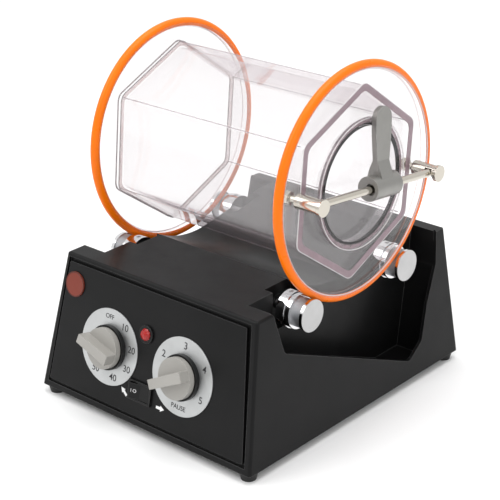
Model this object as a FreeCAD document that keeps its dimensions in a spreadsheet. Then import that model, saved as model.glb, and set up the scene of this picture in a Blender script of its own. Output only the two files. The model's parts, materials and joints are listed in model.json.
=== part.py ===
"""Bench-top rotary rock tumbler with a clear hexagonal drum on four driven rollers.

Frame: +Z up, +X towards the drum's door, -Y towards the control panel. The origin lies on the
surface that the feet stand on, under the middle of the whole machine.
"""
import FreeCAD, Part
import math
import os
import Sketcher

doc = FreeCAD.newDocument("RockTumbler")
sheet = doc.addObject("Spreadsheet::Sheet", "Sizes")
nodes = []


# ---------------------------------------------------------------- sizes that keep their formula
class Size:
    """A number together with the spreadsheet formula that gives it."""

    def __init__(self, value, formula):
        self.value = value
        self.formula = formula

    def __add__(self, other):
        other = as_size(other)
        return Size(self.value + other.value, "(%s + %s)" % (self.formula, other.formula))

    def __sub__(self, other):
        other = as_size(other)
        return Size(self.value - other.value, "(%s - %s)" % (self.formula, other.formula))

    def __mul__(self, other):
        other = as_size(other)
        return Size(self.value * other.value, "(%s * %s)" % (self.formula, other.formula))

    def __truediv__(self, other):
        other = as_size(other)
        return Size(self.value / other.value, "(%s / %s)" % (self.formula, other.formula))

    def __neg__(self):
        return Size(-self.value, "(0 - %s)" % self.formula)

    def __radd__(self, other):
        return as_size(other) + self

    def __rsub__(self, other):
        return as_size(other) - self

    def __rmul__(self, other):
        return as_size(other) * self


def as_size(amount):
    if isinstance(amount, Size):
        return amount
    return Size(float(amount), "(%s)" % repr(float(amount)))


def sine(angle):
    return Size(math.sin(math.radians(angle.value)), "sin(%s)" % angle.formula)


def cosine(angle):
    return Size(math.cos(math.radians(angle.value)), "cos(%s)" % angle.formula)


row = 0


def size(alias, value):
    """Puts a driving dimension into the sheet."""
    global row
    row += 1
    sheet.set("A%d" % row, alias.replace("_", " "))
    sheet.set("B%d" % row, str(value))
    sheet.setAlias("B%d" % row, alias)
    return Size(float(value), "Sizes.%s" % alias)


# overall
shift_x = size("shift_x", -4.75)
shift_y = size("shift_y", 18.27)
foot_height = size("foot_height", 7.5)
deck_height = size("deck_height", 127.6)
axis_height = size("axis_height", 202.9)
# housing
wall = size("wall", 3)
front_wall = size("front_wall", 5.5)
bottom_half = size("bottom_half", 120.5)
top_half = size("top_half", 107.3)
front_bottom = size("front_bottom", -155)
back_bottom = size("back_bottom", 128.2)
back_top = size("back_top", 119)
panel_tilt = size("panel_tilt", 12.7)
back_tilt = size("back_tilt", 4.4)
box_half = size("box_half", 81)
pocket_front = size("pocket_front", -109.5)
trough_radius = size("trough_radius", 91.5)
ramp_start = size("ramp_start", 16.7)
ramp_end = size("ramp_end", 92)
ramp_low = size("ramp_low", 90)
pocket_floor_front = size("pocket_floor_front", 117.3)
pocket_floor_rear = size("pocket_floor_rear", 188.6)
pocket_floor_bend = size("pocket_floor_bend", 57.7)
pocket_back_top = size("pocket_back_top", 107.6)
pocket_back_low = size("pocket_back_low", 89.9)
pocket_top = size("pocket_top", 60)
opening_round = size("opening_round", 7)
back_step = size("back_step", 1.5)
bay_half = size("bay_half", 16.4)
bay_start = size("bay_start", 71.7)
edge_round = size("edge_round", 2.5)
plate_thick = size("plate_thick", 2.4)
screw_x = size("screw_x", 101)
screw_front = size("screw_front", -134)
screw_back = size("screw_back", 112)
screw_radius = size("screw_radius", 2)
screw_head = size("screw_head", 2)
screw_boss = size("screw_boss", 5.5)
foot_x = size("foot_x", 111.5)
foot_front = size("foot_front", -146)
foot_back = size("foot_back", 119)
foot_tip = size("foot_tip", 6.2)
foot_top = size("foot_top", 8)
# back wall
inlet_x = size("inlet_x", -62)
inlet_z = size("inlet_z", 46)
inlet_half_x = size("inlet_half_x", 13.5)
inlet_half_z = size("inlet_half_z", 10)
fuse_x = size("fuse_x", -22)
fuse_radius = size("fuse_radius", 5.8)
# rollers and drive
shaft_y = size("shaft_y", 63.4)
shaft_drop = size("shaft_drop", 93.3)
shaft_radius = size("shaft_radius", 4)
shaft_reach = size("shaft_reach", 104)
running_fit = size("running_fit", 0.06)
bush_radius = size("bush_radius", 8)
bush_flange = size("bush_flange", 8.3)
bush_flange_thick = size("bush_flange_thick", 2.7)
bush_start = size("bush_start", 66)
bush_length = size("bush_length", 5.7)
groove_radius = size("groove_radius", 12.5)
roller_start = size("roller_start", 82.5)
screw_reach = size("screw_reach", 87)
motor_radius = size("motor_radius", 28)
motor_y = size("motor_y", -8)
motor_height = size("motor_height", 52.9)
motor_face = size("motor_face", 30)
motor_length = size("motor_length", 80)
motor_boss = size("motor_boss", 9)
bracket_half = size("bracket_half", 30)
bracket_thick = size("bracket_thick", 2.5)
motor_shaft_radius = size("motor_shaft_radius", 3)
big_pulley = size("big_pulley", 12)
small_pulley = size("small_pulley", 6)
pulley_start = size("pulley_start", 40)
pulley_width = size("pulley_width", 10)
pulley_rim = size("pulley_rim", 1)
belt_thick = size("belt_thick", 1.4)
body_gap = size("body_gap", 0.3)
# drum
drum_turn = size("drum_turn", 6.2)
vertex_radius = size("vertex_radius", 81)
drum_wall = size("drum_wall", 4.5)
drum_half = size("drum_half", 96.85)
drum_corner = size("drum_corner", 9)
disc_thick = size("disc_thick", 8)
disc_radius = size("disc_radius", 95.6)
tyre_centre = size("tyre_centre", 96)
tyre_cord = size("tyre_cord", 4)
door_radius = size("door_radius", 49.3)
lid_radius = size("lid_radius", 55)
lid_front = size("lid_front", 109)
plug_radius = size("plug_radius", 48.7)
plug_length = size("plug_length", 8)
seal_inner = size("seal_inner", 47.9)
seal_outer = size("seal_outer", 50.2)
seal_thick = size("seal_thick", 2.4)
# clamp
post_offset = size("post_offset", 76.5)
post_radius = size("post_radius", 6.2)
post_cap_radius = size("post_cap_radius", 6.95)
post_end = size("post_end", 130)
post_cap_thick = size("post_cap_thick", 3)
stud_radius = size("stud_radius", 3)
stud_length = size("stud_length", 14)
nut_radius = size("nut_radius", 5.77)
nut_thick = size("nut_thick", 4.8)
slot_drop = size("slot_drop", 9)
slot_width = size("slot_width", 22)
bar_radius = size("bar_radius", 3.25)
bar_x = size("bar_x", 121.8)
bar_half = size("bar_half", 79.5)
cam_offset = size("cam_offset", 2.2)
hub_radius = size("hub_radius", 10.2)
hub_start = size("hub_start", -8)
hub_length = size("hub_length", 33)
lever_reach = size("lever_reach", 54.2)
lever_tip = size("lever_tip", 10.2)
lever_lean = size("lever_lean", 4.6)
lever_thick = size("lever_thick", 4.6)
lever_neck = size("lever_neck", 7.75)
lever_root = size("lever_root", 15)
recess_radius = size("recess_radius", 4.7)
# controls
dial_radius = size("dial_radius", 32.8)
dial_thick = size("dial_thick", 0.8)
ring_radius = size("ring_radius", 19.2)
ring_bore = size("ring_bore", 10.5)
ring_top = size("ring_top", 5)
knob_radius = size("knob_radius", 17.5)
skirt_start = size("skirt_start", 5.2)
skirt_top = size("skirt_top", 10.4)
collar_radius = size("collar_radius", 10)
stem_radius = size("stem_radius", 3)
stem_hole = size("stem_hole", 3.6)
knob_top = size("knob_top", 20.5)
timer_u = size("timer_u", -44.9)
timer_v = size("timer_v", 56.7)
speed_u = size("speed_u", 38.9)
speed_v = size("speed_v", 57.2)
timer_angle = size("timer_angle", 286)
speed_angle = size("speed_angle", 243)
lamp_u = size("lamp_u", -5)
lamp_v = size("lamp_v", 79.7)
lamp_radius = size("lamp_radius", 5)
lamp_bezel = size("lamp_bezel", 7.6)
lens_radius = size("lens_radius", 4.2)
rocker_u = size("rocker_u", -4.5)
rocker_v = size("rocker_v", 29.7)
rocker_half_u = size("rocker_half_u", 12.2)
rocker_half_v = size("rocker_half_v", 8)
rocker_rim = size("rocker_rim", 0.7)
rocker_tip = size("rocker_tip", 10)
pivot_radius = size("pivot_radius", 1.5)
pivot_depth = size("pivot_depth", 2)
badge_u = size("badge_u", -93.2)
badge_v = size("badge_v", 97.8)
badge_radius = size("badge_radius", 10.9)
badge_thick = size("badge_thick", 1.2)
panel_thick = size("panel_thick", 3)
panel_corner = size("panel_corner", 1.5)
window_inset = size("window_inset", 8)

shell_height = deck_height - foot_height
front_top = front_bottom + shell_height * (sine(panel_tilt) / cosine(panel_tilt))
side_slope = (bottom_half - top_half) / shell_height
back_slope = (back_bottom - back_top) / shell_height
front_slope = (front_top - front_bottom) / shell_height
shaft_height = axis_height - shaft_drop
step_under_axis = axis_height - deck_height + back_step

# ---------------------------------------------------------------- helpers
AXES = {
    "x": FreeCAD.Vector(1, 0, 0),
    "-x": FreeCAD.Vector(-1, 0, 0),
    "y": FreeCAD.Vector(0, 1, 0),
    "-y": FreeCAD.Vector(0, -1, 0),
    "z": FreeCAD.Vector(0, 0, 1),
    "-z": FreeCAD.Vector(0, 0, -1),
    "xyz": FreeCAD.Vector(1, 1, 1),
}
TURNS = {"x": ("y", 90), "y": ("-x", 90), "z": ("z", 0)}


def bind(piece, path, amount):
    amount = as_size(amount)
    piece.setExpression(path, amount.formula)


def place(piece, x=0, y=0, z=0, axis="z", angle=0):
    """Puts a piece at a point, turned about one axis, with every number kept as a formula."""
    point = [as_size(x), as_size(y), as_size(z)]
    turn = as_size(angle)
    base = FreeCAD.Vector(point[0].value, point[1].value, point[2].value)
    piece.Placement = FreeCAD.Placement(base, FreeCAD.Rotation(AXES[axis], turn.value))
    for letter, amount in zip("xyz", point):
        piece.setExpression("Placement.Base." + letter, amount.formula)
    if isinstance(angle, Size):
        piece.setExpression("Placement.Rotation.Angle", turn.formula)
    return piece


def rod(name, axis, radius, length, x=0, y=0, z=0):
    """A cylinder along an axis, from the given start point."""
    piece = doc.addObject("Part::Cylinder", name)
    bind(piece, "Radius", radius)
    bind(piece, "Height", length)
    return place(piece, x, y, z, *TURNS[axis])


def block(name, x_from, x_to, y_from, y_to, z_from, z_to):
    piece = doc.addObject("Part::Box", name)
    bind(piece, "Length", as_size(x_to) - x_from)
    bind(piece, "Width", as_size(y_to) - y_from)
    bind(piece, "Height", as_size(z_to) - z_from)
    return place(piece, x_from, y_from, z_from)


def tapered(name, z_from, z_to, side, front, back):
    """A housing-shaped block whose faces follow the housing's slopes, set in by side, front, back."""
    piece = doc.addObject("Part::Wedge", name)
    low = as_size(z_from) - foot_height
    high = as_size(z_to) - foot_height
    for level, x_name, z_name in ((low, "X", "Z"), (high, "X2", "Z2")):
        half = bottom_half - side - side_slope * level
        bind(piece, x_name + "min", -half)
        bind(piece, x_name + "max", half)
        bind(piece, z_name + "min", -(back_bottom - back - back_slope * level))
        bind(piece, z_name + "max", -(front_bottom + front + front_slope * level))
    bind(piece, "Ymin", z_from)
    bind(piece, "Ymax", z_to)
    return place(piece, 0, 0, 0, "x", 90)


def fuse(name, pieces):
    piece = doc.addObject("Part::MultiFuse", name)
    piece.Shapes = pieces
    return piece


def carry(name, piece):
    """The same piece with a second placement of its own."""
    carrier = doc.addObject("Part::Compound", name)
    carrier.Links = [piece]
    return carrier


def cut(name, base, tools):
    piece = doc.addObject("Part::Cut", name)
    piece.Base = base
    piece.Tool = tools[0] if len(tools) == 1 else fuse(name + "_tools", tools)
    return piece


def common(name, first, second):
    piece = doc.addObject("Part::Common", name)
    piece.Base = first
    piece.Tool = second
    return piece


def slab(name, points, thickness, round_radius=0, rounded=()):
    """A flat piece of the given closed outline, padded along its own +Z.

    The corners listed in rounded get a fillet."""
    body = doc.addObject("PartDesign::Body", name)
    sketch = body.newObject("Sketcher::SketchObject", name + "_outline")
    plane = [item for item in body.Origin.OriginFeatures if item.Role == "XY_Plane"][0]
    sketch.AttachmentSupport = (plane, "")
    sketch.MapMode = "FlatFace"
    points = [(as_size(first), as_size(second)) for first, second in points]
    corners = [FreeCAD.Vector(first.value, second.value, 0) for first, second in points]
    count = len(corners)
    for index in range(count):
        sketch.addGeometry(Part.LineSegment(corners[index], corners[(index + 1) % count]), False)
    for index in range(count):
        sketch.addConstraint(Sketcher.Constraint("Coincident", index, 2, (index + 1) % count, 1))
    for index, (first, second) in enumerate(points):
        for kind, amount in (("DistanceX", first), ("DistanceY", second)):
            number = sketch.addConstraint(
                Sketcher.Constraint(kind, -1, 1, index, 1, amount.value))
            sketch.setExpression("Constraints[%d]" % number, amount.formula)
    pad = body.newObject("PartDesign::Pad", name + "_pad")
    pad.Profile = sketch
    bind(pad, "Length", thickness)
    body.Tip = pad
    if rounded:
        doc.recompute()
        chosen = []
        for number, edge in enumerate(pad.Shape.Edges):
            middle = edge.CenterOfMass
            upright = abs(edge.tangentAt(edge.FirstParameter).z) > 0.99
            for corner in rounded:
                near = math.hypot(middle.x - corners[corner].x, middle.y - corners[corner].y)
                if upright and near < 0.01:
                    chosen.append("Edge%d" % (number + 1))
        fillet = body.newObject("PartDesign::Fillet", name + "_round")
        fillet.Base = (pad, chosen)
        bind(fillet, "Radius", round_radius)
        body.Tip = fillet
    return body


def profile(name, points, x_from, x_to, round_radius=0, rounded=()):
    """A side-view outline of (y, z) points, padded from one x to another."""
    body = slab(name, points, as_size(x_to) - x_from, round_radius, rounded)
    return place(body, x_from, 0, 0, "xyz", 120)


def round_edges(name, base, radius, picks):
    """Fillets the edges of a solid that the test picks."""
    doc.recompute()
    piece = doc.addObject("Part::Fillet", name)
    piece.Base = base
    chosen = []
    for number, edge in enumerate(base.Shape.Edges):
        if picks(edge):
            chosen.append((number + 1, radius.value, radius.value))
    piece.Edges = chosen
    return piece


def finish(piece, label):
    """Names a finished sub-part."""
    piece.Label = label
    nodes.append(piece)
    return piece


def in_place(piece, label):
    """A sub-part whose own coordinates are the housing's, moved by the machine's shift."""
    place(piece, shift_x, shift_y, 0)
    return finish(piece, label)


def on_panel(piece, label, u=0, v=0, w=0):
    """Sets a piece on the sloping panel: u across, v up the slope, w out of it."""
    y = shift_y + front_bottom + sine(panel_tilt) * v - cosine(panel_tilt) * w
    z = foot_height + cosine(panel_tilt) * v + sine(panel_tilt) * w
    place(piece, shift_x + u, y, z, "x", 90 - panel_tilt)
    return finish(piece, label) if label else piece


def panel_tool(piece, u=0, v=0, w=0):
    """The same place as on_panel, for a tool that cuts the housing before it is shifted."""
    y = front_bottom + sine(panel_tilt) * v - cosine(panel_tilt) * w
    z = foot_height + cosine(panel_tilt) * v + sine(panel_tilt) * w
    return place(piece, u, y, z, "x", 90 - panel_tilt)


def on_back(piece, label, x, z):
    """Sets a piece on the back wall, its own +Z pointing out of it."""
    y = shift_y + back_bottom - back_slope * (as_size(z) - foot_height)
    place(piece, shift_x + x, y, z, "-x", 90 - back_tilt)
    return finish(piece, label)


def on_drum(piece, label):
    """A sub-part in the drum's own coordinates: origin in the drum's middle, X along its axis."""
    place(piece, shift_x, shift_y, axis_height, "-x", drum_turn)
    return finish(piece, label)


def on_shaft(piece, label, y, angle=0):
    """A sub-part that turns with a roller shaft."""
    place(piece, shift_x, shift_y + y, shaft_height, "z", angle)
    return finish(piece, label)


# ---------------------------------------------------------------- housing
SIDES = (("left", -1), ("right", 1))
SHAFTS = (("front", -1), ("rear", 1))


def mirrored_range(sign, inner, outer):
    """The x range from inner to outer, on the side that sign names."""
    inner = as_size(inner)
    outer = as_size(outer)
    return (inner, outer) if sign > 0 else (-outer, -inner)


def z_of(below_axis):
    return axis_height - below_axis




def pocket_outline(extra):
    """The side pocket seen from the side, grown by extra."""
    extra = as_size(extra)
    return [
        (pocket_front - extra, z_of(pocket_top)),
        (pocket_front - extra, z_of(pocket_floor_front) - extra * 1.1),
        (pocket_floor_bend, z_of(pocket_floor_rear) - extra * 1.1),
        (pocket_back_low + extra, z_of(pocket_floor_rear) - extra * 1.1),
        (pocket_back_top + extra, z_of(step_under_axis)),
        (pocket_back_top + extra, z_of(pocket_top)),
    ]


# side openings: (distance along y, depth under the drum axis)
side_opening = [
    (-109.6, 60), (-109.6, 75.3), (-101, 111.3), (57.2, 179.6),
    (76.2, 167.6), (88, 135.5), (103.6, 105.6), (107.3, 76.8), (107.3, 60),
]


def make_housing():
    outer = tapered("housing_block", foot_height, deck_height, 0, 0, 0)
    outer = round_edges("housing_rounded", outer, edge_round,
                        lambda edge: edge.CenterOfMass.z > foot_height.value + 1)
    hollow = tapered("hollow_block", foot_height - 1, deck_height - wall, wall, front_wall, wall)
    inside = tapered("inside_block", foot_height, deck_height + 10, wall, front_wall, wall)

    keep = []
    remove = []
    for side, sign in SIDES:
        thick_range = mirrored_range(sign, box_half - wall, bottom_half + 10)
        void_range = mirrored_range(sign, box_half, bottom_half + 10)
        keep.append(profile(side + "_pocket_walls", pocket_outline(wall), *thick_range))
        void = profile(side + "_pocket_space", pocket_outline(0), *void_range)
        remove.append(common(side + "_pocket", void, inside))
        opening = [(along, z_of(depth)) for along, depth in side_opening]
        remove.append(profile(side + "_side_opening", opening, *void_range,
                              round_radius=opening_round, rounded=(2, 3, 4, 6)))
        for shaft, way in SHAFTS:
            bay_x = mirrored_range(sign, bay_start, box_half + 0.2)
            shell_x = mirrored_range(sign, bay_start - wall, box_half)
            middle = shaft_y * way
            name = "%s_%s_" % (shaft, side)
            remove.append(block(name + "bay", *bay_x, middle - bay_half, middle + bay_half,
                                shaft_height - bay_half, deck_height + 5))
            keep.append(block(name + "bay_walls", *shell_x, middle - bay_half - wall,
                              middle + bay_half + wall, shaft_height - bay_half - wall,
                              deck_height))
            bush_x = mirrored_range(sign, bay_start - wall - 0.5, bay_start + 0.5)
            remove.append(rod(name + "bush_hole", "x", bush_radius, wall + 1,
                              bush_x[0], middle, shaft_height))

    # the trough under the drum: an arc round the drum's axis, then a straight ramp to the back
    trough_x = (-(box_half + 0.1), box_half * 2 + 0.2)
    for name, grow, target in (("trough", 0, remove), ("trough_skin", wall, keep)):
        arc = rod(name + "_arc_rod", "x", trough_radius + grow, trough_x[1],
                  trough_x[0], 0, axis_height)
        arc_box = block(name + "_arc_box", -90, 90, -60 - as_size(grow), ramp_start, 60, 180)
        target.append(common(name + "_arc", arc, arc_box))
        grow = as_size(grow)
        ramp = [
            (ramp_start - 0.05, z_of(ramp_low) - grow),
            (ramp_end, z_of(step_under_axis) - grow),
            (pocket_back_top, z_of(step_under_axis) - grow),
            (pocket_back_top, z_of(pocket_top)),
            (ramp_start - 0.05, z_of(pocket_top)),
        ]
        target.append(profile(name + "_ramp", ramp, trough_x[0], box_half + 0.1))
    remove.append(block("back_wall_step", -130, 130, pocket_back_top - 0.1, 140,
                        deck_height - back_step, deck_height + 5))

    # screw bosses, from the bottom plate up to whatever is above them
    for x, y in screw_places():
        boss = rod("screw_boss", "z", screw_boss, deck_height - foot_height, x, y,
                   foot_height + plate_thick)
        keep.append(boss)
    hollow = cut("hollow", hollow, keep)
    remove.append(hollow)
    for x, y in screw_places():
        remove.append(rod("screw_hole", "z", screw_radius, 16, x, y, foot_height))

    # groove and window of the control panel
    remove.append(panel_tool(slab("panel_groove", panel_points(0), 12), 0, 0, -panel_thick))
    window = slab("panel_window", panel_points(-window_inset), 20)
    remove.append(panel_tool(window, 0, 0, -10))

    # cut-outs of the power inlet and the fuse holder
    remove.append(block("inlet_hole", inlet_x - inlet_half_x - 0.2, inlet_x + inlet_half_x + 0.2,
                        112, 135, inlet_z - inlet_half_z - 0.6, inlet_z + inlet_half_z + 0.6))
    remove.append(rod("fuse_hole", "y", fuse_radius + 0.2, 30, fuse_x, 110, inlet_z))
    shell = cut("housing", outer, remove)
    return in_place(shell, "base_shell")


def panel_points(grow):
    """The groove round the control panel, as (u, v) points; grow makes it larger or smaller."""
    return [
        (-114 - as_size(grow), 5 - as_size(grow)), (as_size(grow) + 114, 5 - as_size(grow)),
        (as_size(grow) + 101.8, as_size(grow) + 119.6),
        (-104.2 - as_size(grow), as_size(grow) + 119.6),
    ]


def screw_places():
    return [(screw_x * way, y) for way in (-1, 1) for y in (screw_front, screw_back)]


def make_bottom():
    plate = tapered("bottom_plate_block", foot_height, foot_height + plate_thick,
                    wall + 0.05, front_wall + 0.05, wall + 0.05)
    holes = [rod("plate_hole", "z", screw_radius, 10, x, y, foot_height - 2) for x, y in screw_places()]
    in_place(cut("bottom_plate_cut", plate, holes), "bottom_plate")
    screws = []
    for x, y in screw_places():
        shank = rod("screw_shank", "z", screw_radius, 14, x, y, foot_height)
        head = rod("screw_head", "z", screw_radius * 2, screw_head, x, y, foot_height - screw_head)
        screws.append(fuse("bottom_screw", [shank, head]))
    in_place(fuse("screw_set", screws), "bottom_screws")
    feet = []
    for x in (-foot_x, foot_x):
        for y in (foot_front, foot_back):
            foot = doc.addObject("Part::Cone", "foot_cone")
            bind(foot, "Radius1", foot_tip)
            bind(foot, "Radius2", foot_top)
            bind(foot, "Height", foot_height)
            place(foot, x, y, 0)
            feet.append(foot)
    in_place(fuse("foot_set", feet), "feet")


# ---------------------------------------------------------------- control panel
def make_panel():
    points = [(-112.3, 7.6), (111.3, 7.6), (97.4, 116.1), (-102.1, 116.1)]
    plate = slab("panel_plate", points, panel_thick, panel_corner, (0, 1, 2, 3))
    holes = []
    for u, v in ((timer_u, timer_v), (speed_u, speed_v)):
        holes.append(rod("stem_hole", "z", stem_hole, 6, u, v, -1))
    holes.append(rod("lamp_hole", "z", lamp_radius, 6, lamp_u, lamp_v, -1))
    holes.append(block("rocker_hole", rocker_u - rocker_half_u, rocker_u + rocker_half_u,
                       rocker_v - rocker_half_v, rocker_v + rocker_half_v, -1, 5))
    on_panel(cut("panel_cut", plate, holes), "front_panel", 0, 0, -panel_thick)


def make_dial(label, u, v):
    """A printed dial plate with a raised black ring round the knob's stem."""
    plate = rod(label + "_disc", "z", dial_radius, dial_thick)
    hole = rod(label + "_hole", "z", stem_hole, 3, 0, 0, -1)
    on_panel(cut(label + "_cut", plate, [hole]), label, u, v, 0)
    ring = rod(label + "_ring_disc", "z", ring_radius, ring_top - dial_thick, 0, 0, dial_thick)
    hole = rod(label + "_ring_hole", "z", ring_bore, ring_top + 1)
    on_panel(cut(label + "_ring_cut", ring, [hole]), label.replace("plate", "ring"), u, v, 0)


def make_knob(label, u, v, angle):
    """A round skirt, a pointer bar across it and the stem that goes through the panel."""
    skirt = rod(label + "_skirt", "z", knob_radius, skirt_top - skirt_start, 0, 0, skirt_start)
    collar = rod(label + "_collar", "z", collar_radius, skirt_start - 1, 0, 0, 1.2)
    stem = rod(label + "_stem", "z", stem_radius, 11, 0, 0, -8)
    grip = slab(label + "_grip",
                [(-4.6, -16.8), (4.6, -16.8), (4.1, 19.4), (-4.1, 19.4)],
                knob_top - 7.5, 0.8, (0, 1, 2, 3))
    place(grip, 0, 0, 7.5, "-z", angle)
    on_panel(fuse(label + "_solid", [skirt, collar, stem, grip]), label, u, v, 0)


def make_controls():
    make_dial("timer_dial_plate", timer_u, timer_v)
    make_dial("speed_dial_plate", speed_u, speed_v)
    make_knob("timer_knob", timer_u, timer_v, timer_angle)
    make_knob("speed_knob", speed_u, speed_v, speed_angle)

    unit = block("timer_case", -22, 22, -22, 22, -38, -5.6)
    neck = rod("timer_neck", "z", 7, 2.6, 0, 0, -5.6)
    bore = rod("timer_bore", "z", stem_radius + running_fit, 8, 0, 0, -10)
    on_panel(cut("timer_cut", fuse("timer_solid", [unit, neck]), [bore]), "timer_unit",
             timer_u, timer_v, 0)
    can = rod("speed_case", "z", 12, 14, 0, 0, -20)
    neck = rod("speed_neck", "z", 7, 3, 0, 0, -6)
    bore = rod("speed_bore", "z", stem_radius + running_fit, 8, 0, 0, -10)
    on_panel(cut("speed_cut", fuse("speed_solid", [can, neck]), [bore]), "speed_control_unit",
             speed_u, speed_v, 0)

    bezel = rod("lamp_bezel_ring", "z", lamp_bezel, 1.6)
    body = rod("lamp_case", "z", lamp_radius, 21.5, 0, 0, -20)
    seat = rod("lamp_seat", "z", lens_radius, 12, 0, 0, -8)
    on_panel(cut("lamp_cut", fuse("lamp_solid", [bezel, body]), [seat]), "lamp_body",
             lamp_u, lamp_v, 0)
    lens = rod("lamp_lens_stem", "z", lens_radius, 9.6, 0, 0, -8)
    dome = doc.addObject("Part::Sphere", "lamp_lens_dome")
    bind(dome, "Radius", lens_radius + 2)
    place(dome, 0, 0, -1.1)
    cap = common("lamp_lens_cap", dome, rod("lamp_lens_trim", "z", lens_radius + 1.2, 6, 0, 0, 1.6))
    on_panel(fuse("lamp_lens_solid", [lens, cap]), "lamp_lens", lamp_u, lamp_v, 0)

    rim_u = rocker_half_u + rocker_rim
    rim_v = rocker_half_v + rocker_rim
    flange = block("rocker_flange", -rim_u, rim_u, -rim_v, rim_v, 0, 1.8)
    case = block("rocker_case", -rocker_half_u, rocker_half_u, -rocker_half_v, rocker_half_v,
                 -22, 0)
    space = block("rocker_space", -(rocker_half_u - 0.85), rocker_half_u - 0.85,
                  -(rocker_half_v - 1), rocker_half_v - 1, -9, 5)
    pivot_hole = rod("rocker_pivot_hole", "y", pivot_radius + running_fit, 15.9, 0, -7.95,
                     -pivot_depth)
    on_panel(cut("rocker_frame_cut", fuse("rocker_frame_solid", [flange, case]),
                 [space, pivot_hole]), "rocker_frame", rocker_u, rocker_v, 0)
    outline = [(-10.4, -2), (-8, -6), (8, -6), (10.4, -2), (10.4, 2.8), (0, 1.4), (-10.4, 2.8)]
    paddle = slab("rocker_paddle", outline, 13.2)
    place(paddle, 0, 6.6, 0, "x", 90)
    # turned about its pivot, two millimetres under the panel's face
    pivot = rod("rocker_pivot", "y", pivot_radius, 15.6, 0, -7.8, -pivot_depth)
    tipped = fuse("rocker_tipped", [paddle, pivot])
    place(tipped, 0, 0, 0, "y", rocker_tip)
    bind(tipped, "Placement.Base.x", pivot_depth * sine(rocker_tip))
    bind(tipped, "Placement.Base.z", pivot_depth * cosine(rocker_tip) - pivot_depth)
    on_panel(carry("rocker_solid", tipped), "rocker", rocker_u, rocker_v, 0)

    on_panel(rod("badge_solid", "z", badge_radius, badge_thick), "badge_disc", badge_u, badge_v)


# ---------------------------------------------------------------- drive under the deck
def make_electrics():
    board_z = foot_height + plate_thick + 6
    board = block("board_plate", -55, 35, -100, -52, board_z, board_z + 1.6)
    posts = []
    for x in (-50, 30):
        for y in (-95, -57):
            posts.append(rod("board_post", "z", 3, 6, x, y, foot_height + plate_thick))
    in_place(fuse("board_solid", [board] + posts), "circuit_board")
    top = board_z + 1.6
    parts = [
        rod("capacitor", "z", 8, 24, -38, -78, top),
        rod("capacitor_small", "z", 5, 16, -20, -86, top),
        block("heat_sink", -8, 14, -94, -86, top, top + 26),
        block("transformer", -6, 20, -78, -58, top, top + 20),
        block("terminals", -48, -28, -64, -56, top, top + 10),
    ]
    in_place(fuse("board_parts_solid", parts), "board_components")

    flange = block("inlet_flange", -16, 16, -12.5, 12.5, 0, 2)
    case = block("inlet_case", -inlet_half_x, inlet_half_x, -inlet_half_z, inlet_half_z, -24, 0)
    well = block("inlet_well", -11.5, 11.5, -7.5, 7.5, -16, 4)
    inlet = cut("inlet_cut", fuse("inlet_solid", [flange, case]), [well])
    pins = [block("inlet_pin", x - 1, x + 1, y - 2, y + 2, -16, -3)
            for x, y in ((-6, -1.5), (0, 2.5), (6, -1.5))]
    on_back(fuse("inlet_with_pins", [inlet] + pins), "power_inlet", inlet_x, inlet_z)
    cap = rod("fuse_cap", "z", 7.5, 2)
    case = rod("fuse_case", "z", fuse_radius, 26, 0, 0, -26)
    slot = block("fuse_slot", -5, 5, -0.6, 0.6, 1.2, 4)
    on_back(cut("fuse_cut", fuse("fuse_solid", [cap, case]), [slot]), "fuse_holder",
            fuse_x, inlet_z)


def make_motor():
    case = rod("motor_case", "x", motor_radius, motor_length, motor_face - motor_length,
               motor_y, motor_height)
    boss = rod("motor_boss", "x", motor_boss, 3, motor_face, motor_y, motor_height)
    bore = rod("motor_bore", "x", motor_shaft_radius + running_fit, 20, motor_face - 15,
               motor_y, motor_height)
    in_place(cut("motor_cut", fuse("motor_solid", [case, boss]), [bore]), "motor")

    floor = foot_height + plate_thick
    sides = (motor_y - bracket_half, motor_y + bracket_half)
    face = block("bracket_face", motor_face, motor_face + bracket_thick, *sides,
                 floor, motor_height + 26)
    sole = block("bracket_sole", motor_face, motor_face + bracket_half, *sides,
                 floor, floor + bracket_thick)
    hole = rod("bracket_hole", "x", motor_boss, 6, motor_face - 1, motor_y, motor_height)
    in_place(cut("bracket_cut", fuse("bracket_solid", [face, sole]), [hole]), "motor_bracket")

    shaft_from = motor_face - 14
    shaft = rod("rotor_shaft_rod", "x", motor_shaft_radius,
                pulley_start + pulley_width + 2 - shaft_from)
    place(shaft, shift_x + shaft_from, shift_y + motor_y, motor_height, "y", 90)
    finish(shaft, "motor_shaft")
    pulley = pulley_solid("motor_pulley_solid", small_pulley, motor_shaft_radius)
    place(pulley, shift_x + pulley_start, shift_y + motor_y, motor_height)
    finish(pulley, "motor_pulley")
    pulley = pulley_solid("shaft_pulley_solid", big_pulley, shaft_radius)
    place(pulley, shift_x + pulley_start, shift_y - shaft_y, shaft_height)
    finish(pulley, "shaft_pulley")


def pulley_solid(name, radius, bore):
    """A belt pulley along X from its own origin: two rims and the belt's seat between them."""
    seat = rod(name + "_seat", "x", radius, pulley_width)
    rims = [rod(name + "_rim", "x", radius + 2, pulley_rim, start)
            for start in (0, pulley_width - pulley_rim)]
    hole = rod(name + "_bore", "x", bore, pulley_width + 2, -1)
    return cut(name, fuse(name + "_wheel", [seat] + rims), [hole])


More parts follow.
